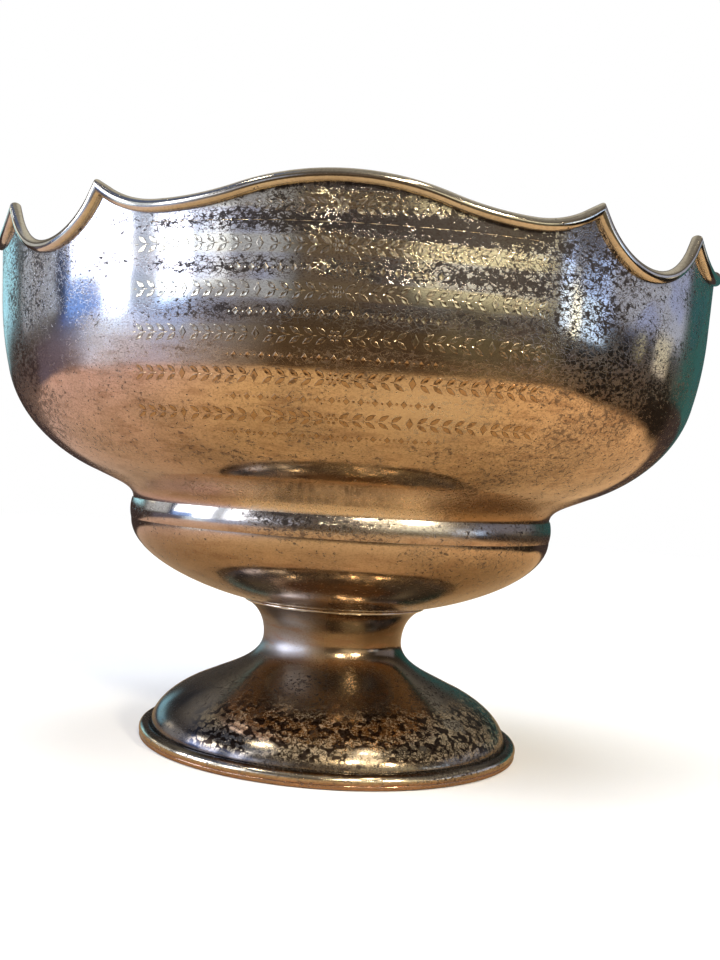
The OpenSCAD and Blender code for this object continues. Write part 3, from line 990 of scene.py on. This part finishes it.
upper_metal = metal("bowl_silver_upper", upper_look)
inside_metal = metal("bowl_silver_inside", inside_look)
lower_metal = metal("bowl_silver_lower", lower_look)
band_metal = metal("bowl_silver_band", band_look)
foot_metal = metal("foot_silver", foot_look)
edge_metal = metal("foot_edge_silver", edge_look)
wire_metal = metal("wire_silver", wire_look)
cut_metal = metal("bright_cut_silver", cut_look)
burr_metal = metal("cut_lip_silver", burr_look)
brass_metal = metal("stud_brass", brass_look)
steel_metal = metal("washer_steel", steel_look)

finishes = {
    "lower_bowl_shell": lower_metal, "girdle_band_strip": band_metal, "collar_ring": wire_metal,
    "foot_shell_spun": foot_metal, "foot_mount_ring": edge_metal, "front_panel_cuts": cut_metal,
    "stud_threaded": brass_metal, "washer_plain": steel_metal, "washer_split": steel_metal,
    "nut_hex": steel_metal, "upper_bowl_shell": upper_metal,
}
for name, piece in pieces.items():
    piece.data.materials.append(finishes.get(name, wire_metal))

cuts.data.materials.append(burr_metal)
for face, finish in zip(cuts.data.polygons, cut_finish):
    face.material_index = finish

# The inside of the bowl has its own finish.
for shell in (pieces["upper_bowl_shell"], pieces["lower_bowl_shell"]):
    shell.data.materials.append(inside_metal)
    for face in shell.data.polygons:
        c, n = face.center, face.normal
        radius = math.hypot(c.x, c.y)
        out = c.x * n.x + c.y * n.y
        if out < -0.35 * radius or (n.z > 0.5 and c.z < 0.12 and out < 0.2 * radius):
            face.material_index = 1

# ---------------------------------------------------------------- floor, studio and lights
bpy.context.scene.view_settings.view_transform = "Standard"
bpy.context.scene.view_settings.look = "None"
BACKING = (1.0, 1.0, 1.0)

# The floor is a ring, open under the foot and clear from below, so that the underside can be seen.
FLOOR_STEPS = 96
FLOOR_INNER, FLOOR_OUTER, FLOOR_Z = 45.0 * MM, 1500.0 * MM, -0.2 * MM
corners = []
for radius in (FLOOR_INNER, FLOOR_OUTER):
    for k in range(FLOOR_STEPS):
        a = 2 * math.pi * k / FLOOR_STEPS
        corners.append((radius * math.cos(a), radius * math.sin(a), FLOOR_Z))
ring = [(k, (k + 1) % FLOOR_STEPS) for k in range(FLOOR_STEPS)]
mesh = bpy.data.meshes.new("floor")
mesh.from_pydata(corners, [], [(k, FLOOR_STEPS + k, FLOOR_STEPS + j, j) for k, j in ring])
floor = bpy.data.objects.new("floor", mesh)
bpy.context.scene.collection.objects.link(floor)
cover = bpy.data.materials.new("floor")
cover.use_nodes = True
paint = Paint(cover.node_tree)
seen = paint.put("ShaderNodeLightPath", "Is Camera Ray", {})
on_floor, turn, _ = paint.place(folded=False)
parts = paint.put("ShaderNodeSeparateXYZ", None, {"Vector": on_floor})
fx, fy = (Field(paint, parts.outputs[k]) for k in range(2))
away = paint.math("SQRT", fx * fx + fy * fy)
reach = paint.math("SQRT", fx * fx * 0.5 + fy * fy)
grain = paint.noise(paint.vector("MULTIPLY", on_floor, (1.0, 0.12, 1.0)), 0.03, 4.0, 0.6)
warm_top = paint.mix(grain, (0.355, 0.250, 0.146), (0.405, 0.295, 0.178))
# Painted light, seen only in reflections: the table is cooler and pinker at the left, where window light
# falls on it, and lighter at the right.
warm_top = paint.mix(fx.step(-60.0, -300.0) * 0.9, warm_top, (0.43, 0.325, 0.290))
warm_top = paint.mix(fx.step(60.0, 260.0), warm_top, (0.43, 0.290, 0.168))
beyond = paint.mix(turn.step(-116.0, -108.0), (0.055, 0.040, 0.038), (0.14, 0.125, 0.16))
beyond = paint.mix(turn.step(-86.0, -80.0), beyond, (0.80, 0.95, 1.15))
beyond = paint.mix(turn.step(-70.0, -64.0), beyond, (0.42, 0.48, 0.68))
beyond = paint.mix(turn.step(-48.0, -34.0), beyond, (0.22, 0.20, 0.20))
beyond = paint.mix(turn.step(-32.0, -16.0), beyond, (0.085, 0.056, 0.034))
beyond = paint.mix(turn.step(18.0, 32.0), beyond, (0.13, 0.105, 0.066))
beyond = paint.mix(turn.step(58.0, 68.0), beyond, (0.018, 0.014, 0.011))
beyond = paint.mix(turn.step(120.0, 132.0), beyond, (0.055, 0.040, 0.038))
table_edge = reach + turn.step(56.0, 78.0) * turn.step(132.0, 112.0) * 95.0
pale = paint.mix(seen, warm_top, (0.875, 0.925, 1.0))
lit = paint.put("ShaderNodeBsdfDiffuse", "BSDF", {"Color": pale})
distance = paint.mix(seen, beyond, BACKING)
glow = paint.put("ShaderNodeEmission", "Emission", {"Color": distance, "Strength": 1.0})
far = away.step(500.0, 1350.0) * seen + table_edge.step(304.0, 368.0) * (1.0 - seen)
shader = paint.put("ShaderNodeMixShader", 0, {0: far, 1: lit, 2: glow})
below = paint.put("ShaderNodeNewGeometry", "Backfacing", {})
clear = paint.put("ShaderNodeBsdfTransparent", "BSDF", {})
shader = paint.put("ShaderNodeMixShader", 0, {0: below, 1: shader, 2: clear})
paint.put("ShaderNodeOutputMaterial", None, {"Surface": shader})
floor.data.materials.append(cover)

world = bpy.data.worlds.new("studio")
bpy.context.scene.world = world
world.use_nodes = True
paint = Paint(world.node_tree)
direction = paint.put("ShaderNodeTexCoord", "Generated", {})
parts = paint.put("ShaderNodeSeparateXYZ", None, {"Vector": direction})
dx, dy, dz = (Field(paint, parts.outputs[k]) for k in range(3))
around = paint.math("ARCTAN2", dx, dy * -1.0) * (180 / math.pi)
raised = paint.math("ARCSINE", dz) * (180 / math.pi)


def window(colour, low, high, bottom, top, soft=1.5):
    """A soft-edged rectangle of the surroundings, in degrees round and up."""
    cover = (around.step(low - soft, low + soft) * around.step(high + soft, high - soft)
             * raised.step(bottom - soft, bottom + soft) * raised.step(top + soft, top - soft))
    return cover, colour


room = paint.mix(raised.step(20.0, 60.0), (0.095, 0.082, 0.072), (0.27, 0.25, 0.22))
# The light from far below reaches only the underside, through the opening in the floor.
room = paint.mix(raised.step(-30.0, -60.0), room, (0.75, 0.74, 0.72))
for cover, colour in (
    window((0.44, 0.46, 0.56), -66, -18, -9, 13, 6),
    window((0.13, 0.095, 0.070), -14, 17, -12, 14, 4),
    window((0.95, 0.86, 0.62), 20, 62, 0, 13, 5),
    window((0.42, 0.45, 0.60), 80, 126, 0, 18, 3),
    window((0.014, 0.012, 0.011), 66, 124, -30, 0, 2.5),
    window((0.50, 0.45, 0.28), 98, 102, -4, 1, 1),
    window((0.68, 0.62, 0.50), 109, 118, -7, 2, 1.5),
    window((0.040, 0.125, 0.12), 127, 172, -8, 14, 4),
    window((0.54, 0.98, 1.10), -155, -130, 2, 12, 3),
    window((0.05, 0.035, 0.03), -165, -124, -14, 1, 2),
    window((0.52, 0.53, 0.54), -125, -101, -1, 18, 1.5),
    window((2.2, 2.0, 1.6), -125, -118, 10, 15, 1.2),
    window((0.11, 0.14, 0.24), -118, -36, 30, 66, 7),
    window((0.035, 0.045, 0.085), -101, -94, -10, 24, 1.5),
    window((0.13, 0.17, 0.40), -101, -80, -10, -2, 2),
    window((0.30, 0.50, 1.05), -96, -78, -4, 6, 2),
    window((5.5, 5.8, 6.6), -94, -80, 5, 26, 1.2),
    window((5.5, 5.8, 6.6), -79, -69, -5, 26, 1.5),
    window((2.2, 2.5, 3.2), -79, -67, -11, -4, 2),
    window((0.62, 0.68, 0.78), -68, -58, -6, 26, 1.5),
    window((4.6, 4.9, 5.6), -58, -48, -3, 28, 1.8),
    window((1.1, 1.45, 2.0), -60, -47, -8, -3, 2.5),
    window((1.5, 1.6, 1.8), -46, -36, 0, 9, 2),
    window((1.2, 1.5, 2.1), 65.5, 69.5, -4, 6.4, 0.8),
    window((2.2, 2.1, 1.7), 69.5, 73, -6, 5, 0.8),
    window((0.9, 1.2, 1.75), 73, 84, -7, 5.6, 1.0),
    window((150.0, 126.0, 88.0), 15, 21, 28, 33, 0.8),
    window((150.0, 126.0, 88.0), 41, 47, 20, 25, 0.8),
    window((40.0, 36.0, 28.0), -56, -49, 49, 54, 1.5),
    window((40.0, 35.0, 26.0), 36, 43, 53, 57, 1.5),
):
    room = paint.mix(cover, room, colour)
room = paint.mix(dy.step(0.0, 0.4) * raised.step(22.0, 42.0), room, (0.55, 0.52, 0.45))
seen = paint.put("ShaderNodeLightPath", "Is Camera Ray", {})
backing = paint.mix(seen, room, BACKING)
surface = paint.put("ShaderNodeBackground", "Background", {"Color": backing, "Strength": 1.0})
paint.put("ShaderNodeOutputWorld", None, {"Surface": surface})


def soft_light(name, place, towards, size, power, colour):
    """A large soft box that the metal doesn't mirror."""
    lamp = bpy.data.lights.new(name, "AREA")
    lamp.shape = "DISK"
    lamp.size = size
    lamp.energy = power
    lamp.color = colour
    holder = bpy.data.objects.new(name, lamp)
    holder.location = place
    holder.rotation_euler = (Vector(towards) - Vector(place)).to_track_quat("-Z", "Y").to_euler()
    holder.visible_glossy = False
    bpy.context.scene.collection.objects.link(holder)


soft_light("key", (-1.2, -1.0, 1.7), (0, 0, 0.08), 1.1, 22.0, (1.0, 0.98, 0.95))
soft_light("fill", (1.4, -0.8, 1.5), (0, 0, 0.08), 1.2, 15.0, (1.0, 0.99, 0.97))
soft_light("top", (0.0, 0.5, 2.0), (0, 0, 0.08), 1.4, 19.0, (1.0, 1.0, 1.0))
